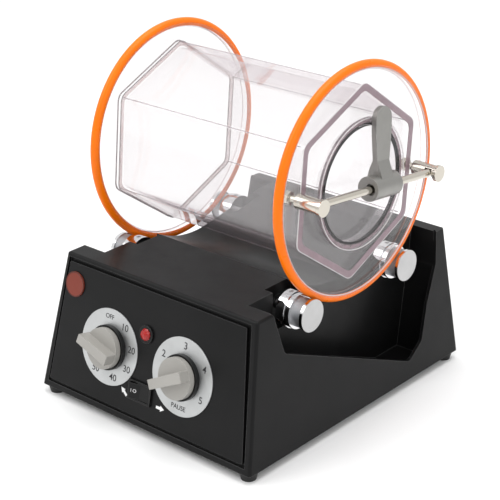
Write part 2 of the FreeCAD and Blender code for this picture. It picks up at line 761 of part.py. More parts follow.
def belt_loop(name, extra, x_from, x_to):
    """The solid inside a belt line round both pulleys: two discs and the piece between them."""
    length = as_size(x_to) - x_from
    big = big_pulley + extra
    small = small_pulley + extra
    along = motor_y + shaft_y
    down = shaft_height - motor_height
    run = Size(math.hypot(along.value, down.value),
               "sqrt(%s ^ 2 + %s ^ 2)" % (along.formula, down.formula))
    # the tangent points, in axes along and across the line between the two centres
    fall = (big - small) / run
    rise = Size(math.sqrt(1 - fall.value ** 2), "sqrt(1 - %s ^ 2)" % fall.formula)
    way_y = along / run
    way_z = -(down / run)
    points = []
    for centre_y, centre_z, radius, side in (
            (-shaft_y, shaft_height, big, 1), (motor_y, motor_height, small, 1),
            (motor_y, motor_height, small, -1), (-shaft_y, shaft_height, big, -1)):
        out_along = radius * fall
        out_across = radius * rise * side
        points.append((centre_y + out_along * way_y - out_across * way_z,
                       centre_z + out_along * way_z + out_across * way_y))
    middle = profile(name + "_middle", points, x_from, x_to)
    ends = [rod(name + "_big", "x", big, length, x_from, -shaft_y, shaft_height),
            rod(name + "_small", "x", small, length, x_from, motor_y, motor_height)]
    return fuse(name, [middle] + ends)


def make_belt():
    start = pulley_start + pulley_rim + body_gap
    end = pulley_start + pulley_width - pulley_rim - body_gap
    outside = belt_loop("belt_outside", body_gap + belt_thick, start, end)
    inside = belt_loop("belt_inside", body_gap, start - 1, end + 1)
    in_place(cut("belt_cut", outside, [inside]), "drive_belt")


# ---------------------------------------------------------------- shafts and rollers
# each step of a roller: where it ends along the shaft, and its radius
roller_steps = [(90.5, 15.5), (91.5, 13.5), (95.5, 14.8), (105.5, groove_radius), (108.5, 13.7)]


def make_shafts():
    for shaft, way in SHAFTS:
        y = shaft_y * way
        piece = rod(shaft + "_shaft_rod", "x", shaft_radius, shaft_reach * 2)
        place(piece, shift_x - shaft_reach, shift_y + y, shaft_height, "y", 90)
        finish(piece, shaft + "_shaft")
        screws = []
        for side, sign in SIDES:
            name = "%s_%s_" % (shaft, side)
            begin = roller_start
            steps = []
            for end, radius in roller_steps:
                steps.append(rod(name + "step", "x", radius, as_size(end) - begin, begin))
                begin = as_size(end)
            bore = rod(name + "bore", "x", shaft_radius, shaft_reach - roller_start + 2,
                       roller_start - 2)
            tap = rod(name + "tap", "z", screw_radius, 20, screw_reach)
            roller = cut(name + "cut", fuse(name + "solid", steps), [bore, tap])
            on_shaft(roller, name + "roller", y, 90 - 90 * sign)
            screws.append(rod(name + "screw", "z", screw_radius, 10, screw_reach * sign, 0,
                              shaft_radius))
            bush = rod(name + "bush_rod", "x", bush_radius, bush_length, bush_start)
            flange = rod(name + "bush_flange", "x", bush_flange, bush_flange_thick, bush_start)
            hole = rod(name + "bush_bore", "x", shaft_radius + running_fit, bush_length + 4,
                       bush_start - 2)
            bearing = cut(name + "bush", fuse(name + "bush_solid", [bush, flange]), [hole])
            on_shaft(bearing, name + "bearing", y, 90 - 90 * sign)
        on_shaft(fuse(shaft + "_screws", screws), shaft + "_set_screws", y)


# ---------------------------------------------------------------- drum
def hexagon(name, radius, length, start):
    """A hexagonal bar along X with a flat on either side and a corner on top."""
    points = []
    for step in range(6):
        turn = as_size(30 + 60 * step)
        points.append((radius * cosine(turn), radius * sine(turn)))
    return profile(name, points, start, as_size(start) + length, drum_corner, range(6))


def make_drum():
    outside = hexagon("drum_outside", vertex_radius, drum_half * 2, -drum_half)
    inner = vertex_radius - drum_wall / cosine(as_size(30))
    inside = hexagon("drum_inside", inner, drum_half * 2 + 4, -drum_half - 2)
    on_drum(cut("drum_cut", outside, [inside]), "drum_body")

    for side, sign in SIDES:
        x_from, x_to = mirrored_range(sign, drum_half, drum_half + disc_thick)
        disc = rod(side + "_disc_rod", "x", disc_radius, disc_thick, x_from)
        tools = [tyre_ring(side + "_tyre_seat", x_from)]
        if sign > 0:
            tools.append(rod("door_opening", "x", door_radius, 20, drum_half - 5))
            for way in (-1, 1):
                tools.append(rod("post_stud_hole", "x", stud_radius, 20, drum_half - 5,
                                 post_offset * way))
        on_drum(cut(side + "_disc_cut", disc, tools), side + "_disc")
        on_drum(carry(side + "_tyre_solid", tyre_ring(side + "_tyre_ring", x_from)), side + "_tyre")


def tyre_ring(name, x_from):
    ring = doc.addObject("Part::Torus", name)
    bind(ring, "Radius1", tyre_centre)
    bind(ring, "Radius2", tyre_cord)
    return place(ring, x_from + disc_thick / 2, 0, 0, "y", 90)


def make_lid():
    face = drum_half + disc_thick + 0.5
    flange = rod("lid_flange", "x", lid_radius, lid_front - face, face)
    plug = rod("lid_plug", "x", plug_radius, plug_length, face - plug_length + 1)
    ring = seal_ring("seal_seat")
    on_drum(cut("lid_cut", fuse("lid_solid", [flange, plug]), [ring]), "lid")
    on_drum(seal_ring("seal_solid"), "lid_seal")


def seal_ring(name):
    start = drum_half + disc_thick + body_gap
    outside = rod(name + "_outside", "x", seal_outer, seal_thick, start)
    inside = rod(name + "_inside", "x", seal_inner, 4, start - 1)
    return cut(name, outside, [inside])


def make_clamp():
    disc_face = drum_half + disc_thick
    nuts = []
    for side, sign in SIDES:
        y = post_offset * sign
        name = side + "_post"
        body = rod(name + "_body", "x", post_radius, post_end - post_cap_thick - disc_face,
                   disc_face, y, 0)
        cap = rod(name + "_cap", "x", post_cap_radius, post_cap_thick,
                  post_end - post_cap_thick, y, 0)
        stud = rod(name + "_stud", "x", stud_radius, stud_length, disc_face - stud_length + 0.5, y)
        # the slot that holds the bar: open towards the drum's middle and downwards, its outer
        # face flared so that the bar can come out at a slant
        inner_x = bar_x - bar_radius - body_gap
        top = bar_radius + body_gap
        flare = 0.2
        outer_x = bar_x + bar_radius / cosine(as_size(11.3)) + body_gap
        outline = [
            (inner_x, -slot_drop), (inner_x, top), (outer_x - flare * top, top),
            (outer_x + flare * slot_drop, -slot_drop),
        ]
        slot = slab(name + "_slot", outline, slot_width)
        # the outline's first number runs along X and its second along Z; the pad runs along -Y
        end = bar_half + body_gap
        place(slot, 0, end if sign > 0 else -(end - slot_width), 0, "x", 90)
        on_drum(cut(name + "_cut", fuse(name + "_solid", [body, cap, stud]), [slot]),
                side + "_clamp_post")
        nut = doc.addObject("Part::Prism", name + "_nut")
        nut.Polygon = 6
        bind(nut, "Circumradius", nut_radius)
        bind(nut, "Height", nut_thick)
        place(nut, drum_half - nut_thick - 0.05, y, 0, "y", 90)
        hole = rod(name + "_nut_hole", "x", stud_radius, nut_thick + 4, drum_half - nut_thick - 2, y)
        nuts.append(cut(name + "_nut_cut", nut, [hole]))
    on_drum(fuse("nut_set", nuts), "post_nuts")

    bar = rod("clamp_bar_rod", "y", bar_radius, bar_half * 2, bar_x, -bar_half, 0)
    on_drum(carry("clamp_bar_solid", bar), "clamp_bar")

    hub_x = bar_x - cam_offset
    middle = hub_start + hub_length / 2
    hub = rod("cam_hub", "y", hub_radius, hub_length, hub_x, hub_start, 0)
    # the paddle, drawn flat with its own +Y up the lever, then stood up with a slight lean
    straight = [
        (-lever_neck, 0), (lever_neck, 0), (lever_neck, 18), (lever_tip, 44),
        (lever_tip, lever_reach), (-lever_tip, lever_reach), (-lever_tip, 44),
        (-lever_neck, 18),
    ]
    blade = slab("cam_blade", straight, lever_thick)
    end = rod("cam_blade_end", "z", lever_tip, lever_thick, 0, lever_reach)
    paddle = fuse("cam_paddle_flat", [blade, end])
    place(paddle, 0, 0, 0, "xyz", 120)
    # the lean is about the bar's direction, which keeps the blade's width along it
    leaned = carry("cam_paddle", paddle)
    place(leaned, hub_x - lever_thick / 2, middle, 0, "-y", lever_lean)
    root = slab("cam_root", [(-9.2, 2), (9, 2), (4.5, 13), (-0.6, 24), (-3.4, 24), (-7.3, 13)],
                lever_root)
    place(root, hub_x, middle + lever_root / 2, 0, "x", 90)
    bore = rod("cam_bore", "y", bar_radius + running_fit, 60, bar_x, -20, 0)
    recesses = [rod("cam_recess", "y", recess_radius, 14, bar_x, start)
                for start in (hub_start - 10, hub_start + hub_length - 4)]
    lever = cut("cam_lever_cut", fuse("cam_lever_solid", [hub, leaned, root]), [bore] + recesses)
    on_drum(lever, "cam_lever")


make_housing()
make_bottom()
make_panel()
make_controls()
make_electrics()
make_motor()
make_belt()
make_shafts()
make_drum()
make_lid()
make_clamp()
doc.recompute()

# ---------------------------------------------------------------- checks and export
failed = [item.Name for item in doc.Objects if "Invalid" in item.State or "Error" in item.State]
if failed:
    raise RuntimeError("failed objects: %s" % failed)
for node in nodes:
    if node.Shape.isNull() or not node.Shape.isValid():
        raise RuntimeError("%s has no valid shape" % node.Label)

os.makedirs("parts", exist_ok=True)
box = FreeCAD.BoundBox()
for node in nodes:
    node.Shape.exportStep("parts/%s.step" % node.Label)
    box.add(node.Shape.BoundBox)
    print("%-24s solids %d volume %.1f" % (node.Label, len(node.Shape.Solids), node.Shape.Volume))
print("box", box.XMin, box.XMax, box.YMin, box.YMax, box.ZMin, box.ZMax)
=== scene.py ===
"""Looks of the rotary rock tumbler: materials, printed dials, seams and studio set-up."""
import json
import math

import bmesh
import bpy
from mathutils import Matrix, Vector


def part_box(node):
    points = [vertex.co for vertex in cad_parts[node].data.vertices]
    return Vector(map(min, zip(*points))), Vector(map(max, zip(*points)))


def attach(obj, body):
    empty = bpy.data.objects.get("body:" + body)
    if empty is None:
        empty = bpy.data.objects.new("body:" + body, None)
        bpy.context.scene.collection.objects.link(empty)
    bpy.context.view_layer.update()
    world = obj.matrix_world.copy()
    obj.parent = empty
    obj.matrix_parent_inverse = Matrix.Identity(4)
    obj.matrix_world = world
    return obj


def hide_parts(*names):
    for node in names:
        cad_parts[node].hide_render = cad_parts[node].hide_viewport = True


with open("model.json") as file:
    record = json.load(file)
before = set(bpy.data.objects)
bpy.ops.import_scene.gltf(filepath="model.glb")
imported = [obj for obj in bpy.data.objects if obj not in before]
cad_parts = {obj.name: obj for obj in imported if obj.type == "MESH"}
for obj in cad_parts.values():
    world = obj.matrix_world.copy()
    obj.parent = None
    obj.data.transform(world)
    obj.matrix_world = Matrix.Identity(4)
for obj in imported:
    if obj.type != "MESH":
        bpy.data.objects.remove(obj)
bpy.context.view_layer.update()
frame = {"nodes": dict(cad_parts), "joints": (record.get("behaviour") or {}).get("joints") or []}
nodes = frame["nodes"]
MM = 0.001

# sizes of the machine, in millimetres and degrees, the same as in its solid model
DRUM_LEAN = -6.2
PANEL_TILT = 12.7
VERTEX_RADIUS = 81
CORNER_ROUND = 9
TYRE_CENTRE = 96
TYRE_CORD = 4
# the tyre is seen down to this depth inside its own centre line
SEEN_DEPTH = 2.9
# the knurled groove, measured from the roller's inner end
GROOVE_START = 13.1
GROOVE_END = 22.9
# controls on the panel: across it and up it
TIMER_U, TIMER_V = -44.9, 56.7
SPEED_U, SPEED_V = 38.9, 57.2
LAMP_U, LAMP_V = -5, 79.7
ROCKER_U, ROCKER_V = -4.5, 29.7
ROCKER_SLOPE = 17.6
BADGE_U, BADGE_V = -93.2, 97.8
BADGE_TOP = 1.21
DIAL_TOP = 0.85


# ---------------------------------------------------------------- places worked out from the frame
def middle(node):
    low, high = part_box(node)
    return (Vector(low) + Vector(high)) / 2


def joint(name):
    return [item for item in frame["joints"] if item["name"] == name][0]


drum_middle = (middle("left_disc") + middle("right_disc")) / 2
drum_right = Vector(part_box("right_disc")[0]).x
drum_left = Vector(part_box("left_disc")[1]).x
drum_place = Matrix.Translation(drum_middle) @ Matrix.Rotation(math.radians(DRUM_LEAN), 4, "X")
panel_frame = Matrix.Rotation(math.radians(90 - PANEL_TILT), 4, "X")
timer_centre = Vector(joint("timer_turn")["pos_m"])


# ---------------------------------------------------------------- shader helpers
class Shader:
    """A small builder round one material's node tree."""

    def __init__(self, name, material=None):
        """Starts a new material, or goes on with one that is given."""
        self.material = material or bpy.data.materials.new(name)
        self.material.use_nodes = True
        self.tree = self.material.node_tree
        self.bsdf = self.tree.nodes["Principled BSDF"]
        self.output = self.tree.nodes["Material Output"]
        self.coords = self.add("ShaderNodeTexCoord").outputs["Object"]

    def add(self, kind, **settings):
        node = self.tree.nodes.new(kind)
        for key, value in settings.items():
            setattr(node, key, value)
        return node

    def feed(self, socket, source):
        """Sets a socket to a value, or links it to another node's socket."""
        if isinstance(source, bpy.types.NodeSocket):
            self.tree.links.new(source, socket)
        elif socket.type == "RGBA" and len(source) == 3:
            socket.default_value = (*source, 1)
        else:
            socket.default_value = source

    def math(self, operation, first, second=0.0):
        node = self.add("ShaderNodeMath", operation=operation)
        self.feed(node.inputs[0], first)
        self.feed(node.inputs[1], second)
        return node.outputs[0]

    def length(self, first, second):
        """The distance from the axis of a point first across it and second up from it."""
        squares = [self.math("POWER", amount, 2.0) for amount in (first, second)]
        return self.math("SQRT", self.math("ADD", *squares))

    def noise(self, scale, detail=3.0, roughness=0.55, coords=None):
        node = self.add("ShaderNodeTexNoise")
        self.feed(node.inputs["Vector"], coords or self.coords)
        self.feed(node.inputs["Scale"], scale)
        self.feed(node.inputs["Detail"], detail)
        self.feed(node.inputs["Roughness"], roughness)
        return node.outputs["Fac"]

    def ramp(self, source, low, high, start, end):
        """Maps source from start..end to low..high."""
        node = self.add("ShaderNodeMapRange")
        self.feed(node.inputs["Value"], source)
        self.feed(node.inputs["From Min"], start)
        self.feed(node.inputs["From Max"], end)
        self.feed(node.inputs["To Min"], low)
        self.feed(node.inputs["To Max"], high)
        return node.outputs["Result"]

    def blend(self, factor, first, second):
        node = self.add("ShaderNodeMix", data_type="RGBA")
        self.feed(node.inputs[0], factor)
        self.feed(node.inputs[6], first)
        self.feed(node.inputs[7], second)
        return node.outputs[2]

    def bump(self, height, strength, distance, normal=None):
        node = self.add("ShaderNodeBump")
        self.feed(node.inputs["Height"], height)
        self.feed(node.inputs["Strength"], strength)
        self.feed(node.inputs["Distance"], distance)
        if normal:
            self.feed(node.inputs["Normal"], normal)
        return node.outputs["Normal"]

    def convex_edges(self, radius):
        """1 near a convex edge and 0 elsewhere, from the difference of two normals.

        The rounded normal is given back with it."""
        rounded = self.add("ShaderNodeBevel", samples=4)
        self.feed(rounded.inputs["Radius"], radius)
        flat = self.add("ShaderNodeNewGeometry")
        dot = self.add("ShaderNodeVectorMath", operation="DOT_PRODUCT")
        self.feed(dot.inputs[0], rounded.outputs[0])
        self.feed(dot.inputs[1], flat.outputs["Normal"])
        return self.ramp(dot.outputs["Value"], 1.0, 0.0, 0.8, 0.995), rounded.outputs[0]

    def set(self, **values):
        for name, value in values.items():
            self.feed(self.bsdf.inputs[name.replace("_", " ")], value)


def moulded(name, color, roughness, grain=0.25, grain_scale=1400, edge_mix=0.5, edge_highlight=None,
            specular=0.5):
    """Moulded plastic: a fine spark-eroded grain, cloudy gloss, and paler convex edges that are a
    painted highlight.
    """
    s = Shader(name)
    edges, rounded = s.convex_edges(0.7 * MM)
    # the colour of the painted highlight along convex edges, paler than the plastic unless it is
    # given
    edge_highlight = edge_highlight or tuple(min(1, c * 2.2 + 0.03) for c in color)
    cloud = s.noise(14, 4)
    tint = s.blend(s.ramp(cloud, 0, 1, 0.3, 0.7), color, tuple(c * 1.18 + 0.002 for c in color))
    # convex edges are mixed towards the paler colour: a painted highlight along each edge
    s.set(Base_Color=s.blend(s.math("MULTIPLY", edges, edge_mix), tint, edge_highlight))
    s.set(Roughness=s.ramp(s.noise(45, 5), roughness - 0.05, roughness + 0.07, 0.3, 0.7))
    s.set(Specular_IOR_Level=specular)
    s.set(Normal=s.bump(s.noise(grain_scale, 2), grain, 0.15 * MM, rounded))
    return s.material


def metal(name, color, roughness, brushed=0.0, direction=(1, 1, 1), edge_mix=0.4):
    """Bare or plated metal with fine brushing along one direction and handling marks."""
    s = Shader(name)
    edges, rounded = s.convex_edges(0.35 * MM)
    stretch = s.add("ShaderNodeMapping")
    s.feed(stretch.inputs["Vector"], s.coords)
    s.feed(stretch.inputs["Scale"], direction)
    streaks = s.noise(900, 4, coords=stretch.outputs[0])
    smudge = s.noise(60, 4)
    bright = tuple(min(1, c * 1.15) for c in color)
    s.set(Base_Color=s.blend(s.math("MULTIPLY", edges, edge_mix), color, bright))
    s.set(Metallic=1.0)
    rough = s.math("ADD", s.ramp(smudge, roughness * 0.75, roughness * 1.3, 0.3, 0.7),
                   s.math("MULTIPLY", streaks, brushed * 0.12))
    s.set(Roughness=rough)
    s.set(Normal=s.bump(streaks, 0.25 * brushed, 0.05 * MM, rounded))
    return s.material


def clear_plastic(name, edge_color, haze=0.02, roughness=0.03, grazing_start=0.45,
                  body_color=(0.985, 0.978, 0.982)):
    """Clear acrylic sheet: see-through, glossy, and rosy where it is seen edge on."""
    s = Shader(name)
    weight = s.add("ShaderNodeLayerWeight")
    s.feed(weight.inputs["Blend"], 0.5)
    facing = weight.outputs["Facing"]
    grazing = s.ramp(facing, 0.0, 1.0, grazing_start, 1.0)
    through = s.add("ShaderNodeBsdfTransparent")
    s.feed(through.inputs["Color"], s.blend(grazing, body_color, edge_color))
    gloss = s.add("ShaderNodeBsdfGlossy")
    scuffs = s.noise(220, 5, 0.7)
    s.feed(gloss.inputs["Roughness"], s.ramp(scuffs, roughness * 0.6, roughness * 2.2, 0.35, 0.75))
    # the same reflectance from both sides of the sheet
    glancing = s.math("POWER", facing, 5.0)
    reflectance = s.math("MULTIPLY_ADD", glancing, 0.9)
    s.feed(reflectance.node.inputs[2], 0.04)
    shine = s.add("ShaderNodeMixShader")
    s.feed(shine.inputs[0], reflectance)
    s.feed(shine.inputs[1], through.outputs[0])
    s.feed(shine.inputs[2], gloss.outputs[0])
    veil = s.add("ShaderNodeBsdfDiffuse")
    s.feed(veil.inputs["Color"], (0.92, 0.9, 0.91))
    mix = s.add("ShaderNodeMixShader")
    s.feed(mix.inputs[0], s.ramp(scuffs, haze * 0.7, haze * 1.4, 0.3, 0.7))
    s.feed(mix.inputs[1], shine.outputs[0])
    s.feed(mix.inputs[2], veil.outputs[0])
    s.feed(s.output.inputs["Surface"], mix.outputs[0])
    return s.material


def sheet_edge(name, color, opacity, roughness=0.15):
    """A cut or glued edge of acrylic sheet, which gathers light and half hides what is behind; the
    same half-clear film also makes painted highlights and painted refraction shade along edges.
    """
    s = Shader(name)
    cloud = s.ramp(s.noise(90, 4), 0, 1, 0.3, 0.7)
    s.set(Base_Color=s.blend(cloud, color, tuple(c * 0.86 for c in color)))
    s.set(Roughness=s.ramp(s.noise(240, 3), roughness * 0.7, roughness * 1.6, 0.3, 0.7))
    s.set(Alpha=s.ramp(s.noise(160, 3), opacity - 0.05, opacity + 0.05, 0.3, 0.7))
    s.set(Normal=s.bump(s.noise(500, 3), 0.15, 0.1 * MM))
    return s.material


# the knurl's ridges round the roller, and its phase in radians for each metre along it;
# the turning marks' phase for each metre from the axis; the depth of the cap's turned face
KNURL_STARTS = 48.0
KNURL_TWIST = 3800.0
TURNING_MARKS = 14000.0
CAP_SKIN = 0.5


def knurled_chrome(name, node):
    """Polished chrome, with a fine diamond knurl and a duller skin in the roller's groove."""
    s = Shader(name)
    low, high = (Vector(corner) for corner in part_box(node))
    centre = (low + high) / 2
    outward = 1 if centre.x > drum_middle.x else -1
    hub = low.x if outward > 0 else high.x
    split = s.add("ShaderNodeSeparateXYZ")
    s.feed(split.inputs[0], s.coords)
    across = s.math("SUBTRACT", split.outputs["Y"], centre.y)
    up = s.math("SUBTRACT", split.outputs["Z"], centre.z)
    turn = s.math("ARCTAN2", up, across)
    along = s.math("MULTIPLY", s.math("SUBTRACT", split.outputs["X"], hub), outward)
    inside = s.math("MULTIPLY",
                    s.math("GREATER_THAN", along, GROOVE_START * MM),
                    s.math("LESS_THAN", along, GROOVE_END * MM))
    lines = []
    for way in (1, -1):
        phase = s.math("ADD", s.math("MULTIPLY", turn, KNURL_STARTS),
                       s.math("MULTIPLY", along, way * KNURL_TWIST))
        lines.append(s.math("SINE", phase))
    knurl = s.math("MULTIPLY", s.math("MAXIMUM", *lines), inside)
    smudge = s.noise(80, 4)
    # the turned face of the cap is duller than its rim
    cap = s.math("GREATER_THAN", along, high.x - low.x - CAP_SKIN * MM)
    from_axis = s.length(across, up)
    rings = s.math("MULTIPLY", s.math("SINE", s.math("MULTIPLY", from_axis, TURNING_MARKS)), cap)
    s.set(Base_Color=s.blend(cap, s.blend(inside, (0.8, 0.8, 0.81), (0.43, 0.44, 0.46)),
                             s.blend(s.ramp(smudge, 0, 1, 0.3, 0.7), (0.5, 0.5, 0.5),
                                     (0.56, 0.56, 0.56))))
    s.set(Metallic=1.0)
    s.set(Roughness=s.math("ADD", s.ramp(smudge, 0.05, 0.12, 0.3, 0.7),
                           s.math("MULTIPLY", s.math("MAXIMUM", inside, cap), 0.28)))
    s.set(Normal=s.bump(s.math("ADD", knurl, s.math("MULTIPLY", rings, 0.12)), 0.6, 0.25 * MM))
    return s.material


def rubber(name, color, roughness, specular):
    s = Shader(name)
    cloud = s.noise(30, 5)
    s.set(Base_Color=s.blend(s.ramp(cloud, 0, 1, 0.3, 0.7), color, tuple(c * 0.86 for c in color)))
    s.set(Roughness=s.ramp(s.noise(120, 4), roughness - 0.08, roughness + 0.08, 0.3, 0.7))
    s.set(Specular_IOR_Level=specular)
    s.set(Normal=s.bump(s.noise(700, 3), 0.15, 0.12 * MM))
    return s.material


def tyre_rubber(name, color, roughness):
    """A tyre's rubber, see-through deep in the disc's groove and on the inside of its skin.

    The groove's wall throws the light back there, so the rubber behind it is not seen."""
    material = rubber(name, color, roughness, 0.2)
    s = Shader(name, material)
    split = s.add("ShaderNodeSeparateXYZ")
    s.feed(split.inputs[0], s.coords)
    across = s.math("SUBTRACT", split.outputs["Y"], drum_middle.y)
    up = s.math("SUBTRACT", split.outputs["Z"], drum_middle.z)
    from_axis = s.length(across, up)
    outside = s.math("GREATER_THAN", from_axis, (TYRE_CENTRE - SEEN_DEPTH) * MM)
    hidden = s.add("ShaderNodeNewGeometry").outputs["Backfacing"]
    s.set(Alpha=s.math("MULTIPLY", outside, s.math("SUBTRACT", 1.0, hidden)))
    return material


def lamp_glass(name):
    """The neon's red lens: deep coloured and glossy."""
    s = Shader(name)
    s.set(Base_Color=s.blend(s.noise(300, 2), (0.42, 0.008, 0.006), (0.22, 0.004, 0.004)))
    s.set(Roughness=s.ramp(s.noise(200, 3), 0.06, 0.16, 0.3, 0.7))
    return s.material


# ---------------------------------------------------------------- materials of the CAD nodes
ROSE = (0.85, 0.77, 0.8)
# in each moulded finish the second colour given is the painted highlight along its convex edges
base_black = moulded("base black", (0.004, 0.004, 0.0042), 0.34, 0.3, 1100, 0.5,
                     (0.2, 0.2, 0.2), 0.15)
panel_black = moulded("panel black", (0.003, 0.003, 0.0032), 0.38, 0.2, 1500, 0.5,
                      (0.16, 0.16, 0.16), 0.16)
part_black = moulded("part black", (0.003, 0.003, 0.003), 0.32, 0.15, 1700, 0.5,
                     (0.09, 0.09, 0.09), 0.22)
knob_grey = moulded("knob grey", (0.29, 0.28, 0.26), 0.38, 0.2, 900, 0.6, (0.5, 0.49, 0.46))
dial_silver = metal("dial silver", (0.52, 0.53, 0.53), 0.42, 1.0, (1, 9, 9), 0.2)
nickel = metal("nickel", (0.60, 0.565, 0.5), 0.14, 0.3, (8, 1, 8))
lever_metal = metal("lever metal", (0.31, 0.305, 0.29), 0.38, 0.6, (3, 3, 1), 0.5)
zinc = metal("zinc", (0.42, 0.42, 0.42), 0.35, 0.6, (1, 6, 6))
orange = tyre_rubber("orange rubber", (0.93, 0.18, 0.002), 0.33)
black_rubber = rubber("black rubber", (0.018, 0.018, 0.018), 0.6, 0.3)
acrylic = clear_plastic("clear acrylic", ROSE, 0.04, 0.03, 0.6, (0.962, 0.956, 0.958))
disc_acrylic = clear_plastic("disc acrylic", (0.84, 0.76, 0.79), 0.025, 0.03, 0.5,
                             (0.965, 0.96, 0.962))
lid_acrylic = clear_plastic("lid acrylic", (0.66, 0.56, 0.6), 0.02, 0.03, 0.5)
seal_black = rubber("seal black", (0.008, 0.006, 0.007), 0.4, 0.2)
badge_red = moulded("badge red", (0.15, 0.022, 0.01), 0.34, 0.05, 900, 0.4,
                    (0.24, 0.06, 0.04), 0.3)
badge_dark = moulded("badge rim", (0.08, 0.012, 0.006), 0.34, 0.05, 900, 0.4,
                     (0.2, 0.05, 0.03), 0.3)
board_green = moulded("board green", (0.02, 0.12, 0.04), 0.3, 0.1, 800, 0.2)
red_lens = lamp_glass("lamp red")

finishes = {
    "base_shell": base_black, "front_panel": panel_black, "bottom_plate": part_black,
    "feet": black_rubber, "bottom_screws": zinc, "motor": zinc, "motor_bracket": zinc,
    "drive_belt": black_rubber, "circuit_board": board_green, "board_components": part_black,
    "timer_unit": part_black, "timer_dial_plate": dial_silver, "timer_knob": knob_grey,
    "speed_control_unit": part_black, "speed_dial_plate": dial_silver, "speed_knob": knob_grey,
    "timer_dial_ring": part_black, "speed_dial_ring": part_black,
    "lamp_body": part_black, "lamp_lens": red_lens, "rocker_frame": part_black,
    "rocker": part_black, "badge_disc": badge_red, "power_inlet": part_black,
    "fuse_holder": part_black, "motor_shaft": zinc, "motor_pulley": zinc, "shaft_pulley": zinc,
    "front_shaft": zinc, "rear_shaft": zinc, "front_set_screws": zinc, "rear_set_screws": zinc,
    "drum_body": acrylic, "left_disc": disc_acrylic, "right_disc": disc_acrylic,
    "left_tyre": orange, "right_tyre": orange, "lid": lid_acrylic, "lid_seal": seal_black,
    "left_clamp_post": nickel, "right_clamp_post": nickel, "post_nuts": nickel,
    "clamp_bar": nickel, "cam_lever": lever_metal,
}
for shaft in ("front", "rear"):
    for side in ("left", "right"):
        finishes["%s_%s_bearing" % (shaft, side)] = part_black
        roller = "%s_%s_roller" % (shaft, side)
        finishes[roller] = knurled_chrome(roller + " chrome", roller)
for name, material in finishes.items():
    data = nodes[name].data
    data.materials.clear()
    data.materials.append(material)


# ---------------------------------------------------------------- pieces
def piece(name, mesh, material, body):
    obj = bpy.data.objects.new(name, mesh)
    bpy.context.scene.collection.objects.link(obj)
    mesh.materials.append(material)
    if body:
        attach(obj, body)
    return obj


def ring_mesh(name, outer, inner, x_from, x_to, place):
    """A flat ring along X between two closed outlines of (y, z) points with equal counts."""
    mesh = bpy.data.meshes.new(name)
    work = bmesh.new()
    loops = []
    for outline, x in ((outer, x_from), (outer, x_to), (inner, x_to), (inner, x_from)):
        loops.append([work.verts.new(place @ Vector((x, y, z))) for y, z in outline])
    count = len(outer)
    for one, other in zip(loops, loops[1:] + loops[:1]):
        for index in range(count):
            following = (index + 1) % count
            work.faces.new((one[index], one[following], other[following], other[index]))
    bmesh.ops.recalc_face_normals(work, faces=work.faces)
    work.to_mesh(mesh)
    work.free()
    return mesh


def hexagon_outline(vertex_radius, corner, steps=6):
    """A hexagon with a corner on top, its corners rounded, as (y, z) points."""
    points = []
    apothem = vertex_radius * math.cos(math.pi / 6)
    reach = (apothem - corner) / math.cos(math.pi / 6)
    for side in range(6):
        angle = math.radians(30 + 60 * side)
        centre = Vector((math.cos(angle), math.sin(angle))) * reach
        for step in range(steps + 1):
            swing = angle + math.radians(-30 + 60 * step / steps)
            points.append(centre + Vector((math.cos(swing), math.sin(swing))) * corner)
    return points


def circle(radius, count=144):
    return [(radius * math.cos(math.tau * i / count), radius * math.sin(math.tau * i / count))
            for i in range(count)]


def seam(name, shape, outer, inner, x, depth, material, body):
    """A flat ring inside the clear sheet; x is measured along the drum from its middle."""
    mesh = ring_mesh(name, shape(outer * MM), shape(inner * MM), x, x + depth * MM, drum_place)
    obj = piece(name, mesh, material, body)


def hexagon_line(vertex_radius):
    return hexagon_outline(vertex_radius, CORNER_ROUND * MM)


# the strip of painted refraction shade along a corner: its two radii, and a quarter of its width
# in radians
CORNER_SKIN_OUT = 9.06
CORNER_SKIN_IN = 8.9
CORNER_SWING = 0.032


def corner_lines():
    """The six rounded corners of the tube, where the wall is seen edge on, each with a darker
    half-clear strip that paints the shade of refraction there.
    """
    mesh = bpy.data.meshes.new("drum_corner_lines")
    work = bmesh.new()
    reach = (VERTEX_RADIUS * math.cos(math.pi / 6) - CORNER_ROUND) * MM / math.cos(math.pi / 6)
    ends = (drum_left - drum_middle.x, drum_right - drum_middle.x)
    for corner in range(6):
        middle_angle = math.radians(30 + 60 * corner)
        centre = Vector((math.cos(middle_angle), math.sin(middle_angle))) * reach
        section = []
        for radius, swings in (CORNER_SKIN_OUT, range(-2, 3)), (CORNER_SKIN_IN, range(2, -3, -1)):
            for swing in swings:
                angle = middle_angle + swing * CORNER_SWING
                section.append(centre + Vector((math.cos(angle), math.sin(angle))) * radius * MM)
        loops = [[work.verts.new(drum_place @ Vector((x, y, z))) for y, z in section]
                 for x in ends]
        work.faces.new(loops[0])
        work.faces.new(loops[1][::-1])
        for index in range(len(section)):
            following = (index + 1) % len(section)
            work.faces.new((loops[0][index], loops[0][following],
                            loops[1][following], loops[1][index]))
    bmesh.ops.recalc_face_normals(work, faces=work.faces)
    work.to_mesh(mesh)
    work.free()
    piece("drum_corner_lines", mesh, corner_refraction_shade, "drum")


# the groove's lip: degrees round the tyre's section, and millimetres off its skin
LIP_START = 117
LIP_STEP = 2.5
LIP_GAP = 0.06
LIP_THICK = 0.24


